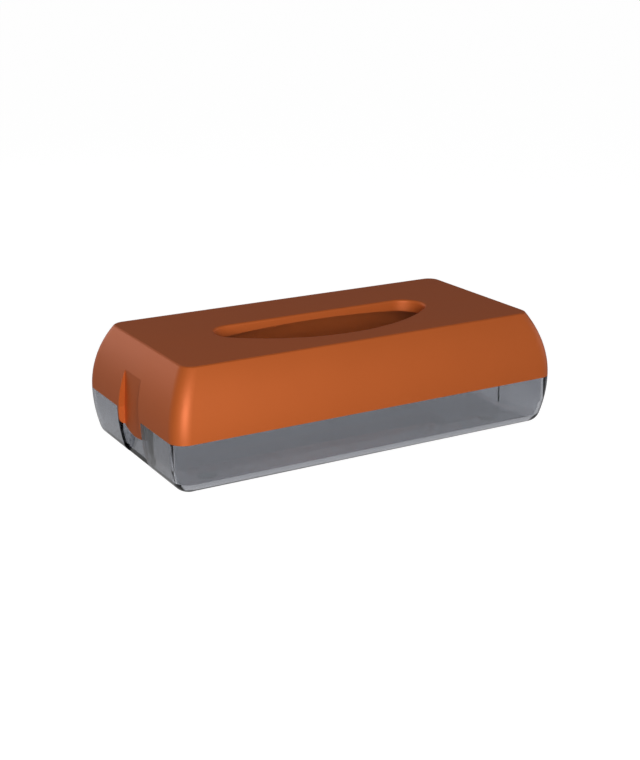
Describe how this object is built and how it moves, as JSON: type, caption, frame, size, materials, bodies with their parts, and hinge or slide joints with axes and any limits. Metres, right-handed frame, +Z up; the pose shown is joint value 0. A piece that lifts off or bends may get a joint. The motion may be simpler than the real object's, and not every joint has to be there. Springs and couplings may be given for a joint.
{
  "type": "tissue dispenser",
  "caption": "Table-top facial tissue dispenser: an opaque bulging cover with a half-moon slot, clipped by end tongues onto a smoked see-through tray of the same outline.",
  "frame": {"origin": "middle of the footprint, on the surface that the pads stand on", "axes": "+Z up, +X along the length, -Y the side that the slot's deep edge faces"},
  "size_m": [0.27, 0.136, 0.075],
  "materials": {
    "cover_plastic": "soft-touch orange ABS",
    "smoked_plastic": "polished smoke-grey transparent SAN",
    "clear_rubber": "clear soft bumper"
  },
  "bodies": {
    "base": {"base_tray": "smoked_plastic", "pad_front_left": "clear_rubber", "pad_front_right": "clear_rubber", "pad_back_left": "clear_rubber", "pad_back_right": "clear_rubber"},
    "cover": {"cover": "cover_plastic"}
  },
  "joints": [
    {"name": "cover_lift", "type": "slide", "parent": "base", "child": "cover", "axis": [0, 0, 1], "range_m": [0, 0.06]}
  ]
}
